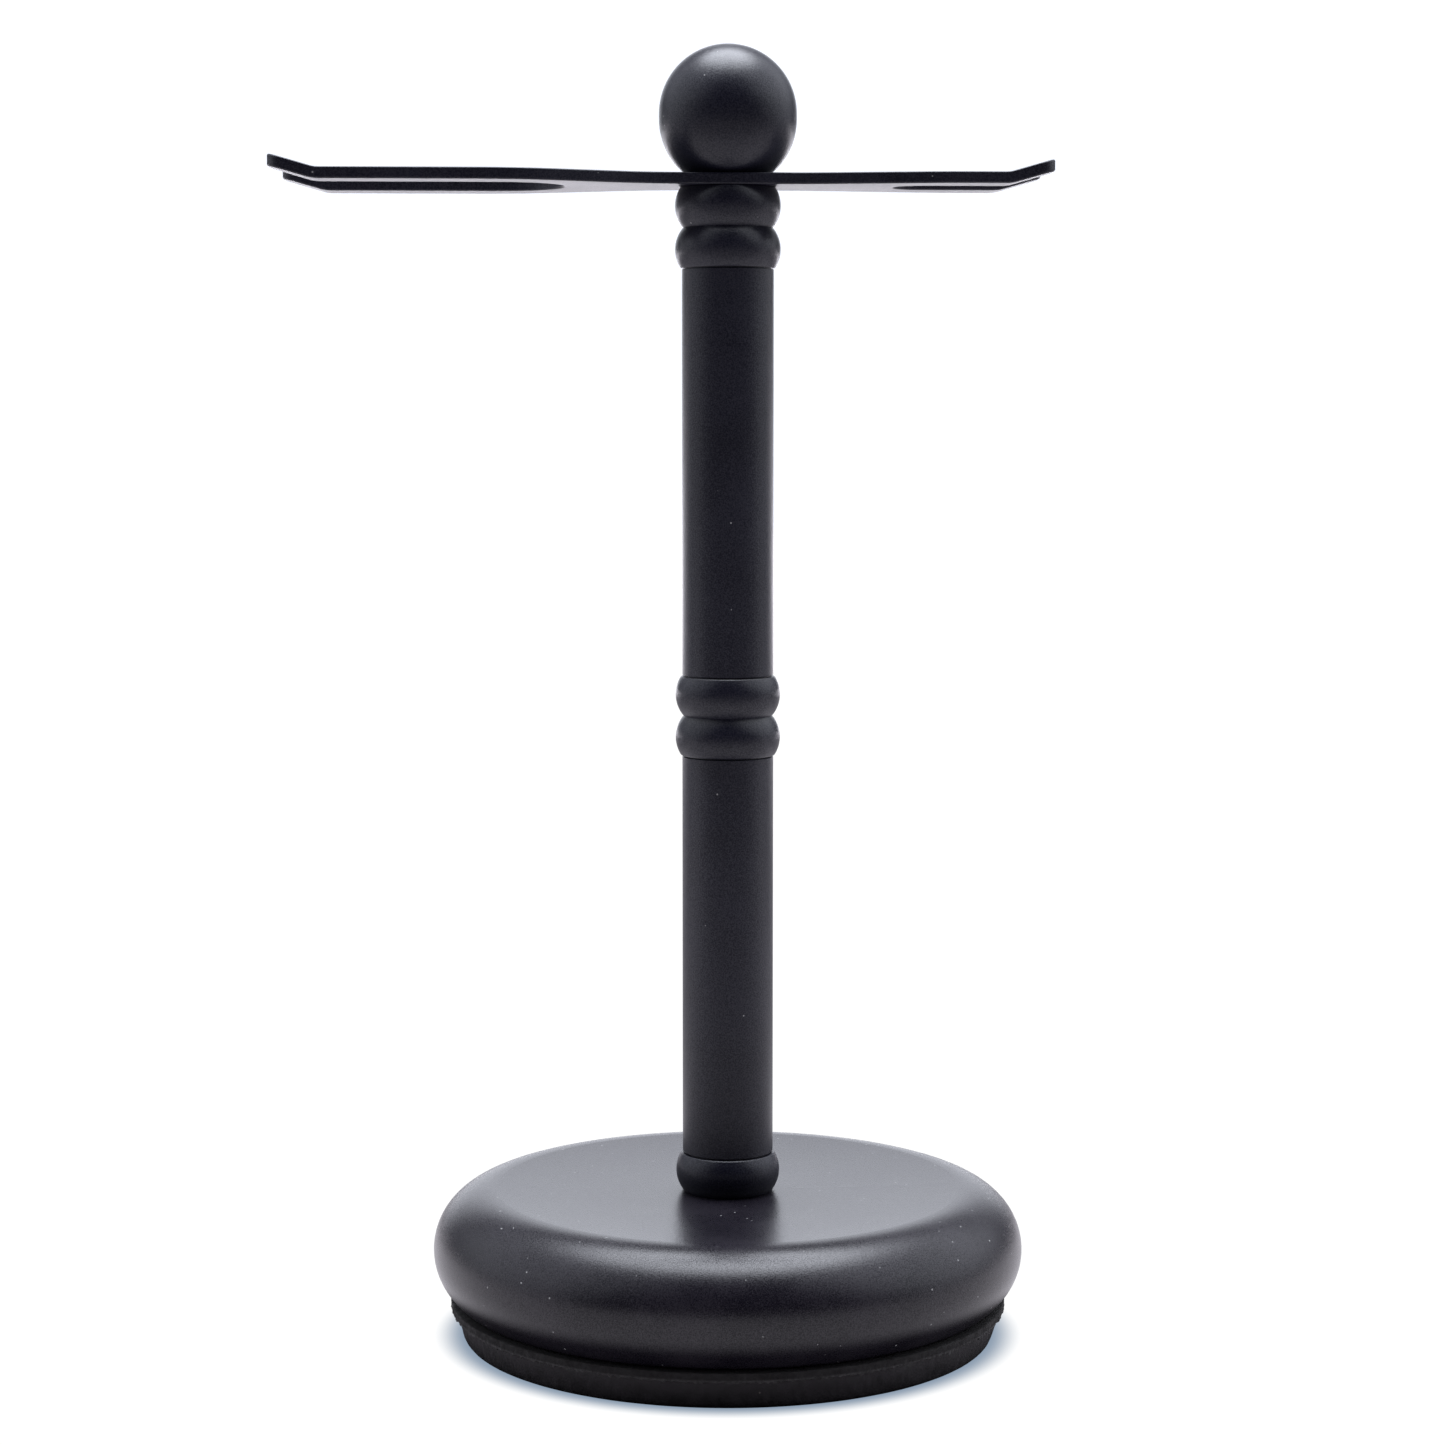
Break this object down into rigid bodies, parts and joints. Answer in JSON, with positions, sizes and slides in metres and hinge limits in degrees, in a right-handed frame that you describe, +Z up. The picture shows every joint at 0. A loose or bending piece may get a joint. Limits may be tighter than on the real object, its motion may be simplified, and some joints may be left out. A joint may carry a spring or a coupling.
{
  "type": "razor stand",
  "caption": "Free-standing razor and brush stand: weighted round base, ringed post, flat two-fork holder plate and ball finial.",
  "frame": {"origin": "centre of the underside of the foot pad, on the axis of the post", "axes": "+Z up the post; +X along the holder plate from the wide brush fork to the narrow razor fork; +Y across the plate"},
  "size_m": [0.1, 0.0784, 0.17],
  "materials": {
    "satin_black": "satin black lacquer, slightly grained",
    "foot_rubber": "matt black cut rubber",
    "black_fibre": "punched black fibre board, matt",
    "ballast_iron": "as cast",
    "zinc_steel": "zinc plated, threaded",
    "insert_brass": "turned"
  },
  "bodies": {
    "stand": {"foot_pad": "foot_rubber", "closing_disc": "black_fibre", "base_shell": "satin_black", "ballast_weight": "ballast_iron", "base_screw": "zinc_steel", "base_lock_washer": "zinc_steel", "base_flat_washer": "zinc_steel", "lower_collar": "satin_black", "lower_tube": "satin_black", "lower_tube_foot_plug": "zinc_steel", "lower_tube_head_plug": "zinc_steel", "middle_stud": "zinc_steel", "middle_collar": "satin_black", "upper_tube": "satin_black", "upper_tube_foot_plug": "zinc_steel", "upper_tube_head_plug": "zinc_steel", "top_stud": "zinc_steel", "upper_collar": "satin_black"},
    "holder": {"holder_plate": "satin_black"},
    "finial_insert": {"finial_insert": "insert_brass"},
    "finial": {"ball_finial": "satin_black"}
  },
  "joints": [
    {"name": "holder_swivel", "type": "hinge", "parent": "stand", "child": "holder", "pos_m": [0, 0, 0.1516], "axis": [0, 0, 1], "continuous": true},
    {"name": "finial_lift", "type": "slide", "parent": "stand", "child": "finial_insert", "axis": [0, 0, 1], "range_m": [0, 0.008]},
    {"name": "finial_turn", "type": "hinge", "parent": "finial_insert", "child": "finial", "pos_m": [0, 0, 0.1531], "axis": [0, 0, 1], "range_deg": [0, 2940]}
  ],
  "couplings": [
    {"joint": "finial_turn", "follows": "finial_lift", "rad_per_m": 6283.2}
  ]
}
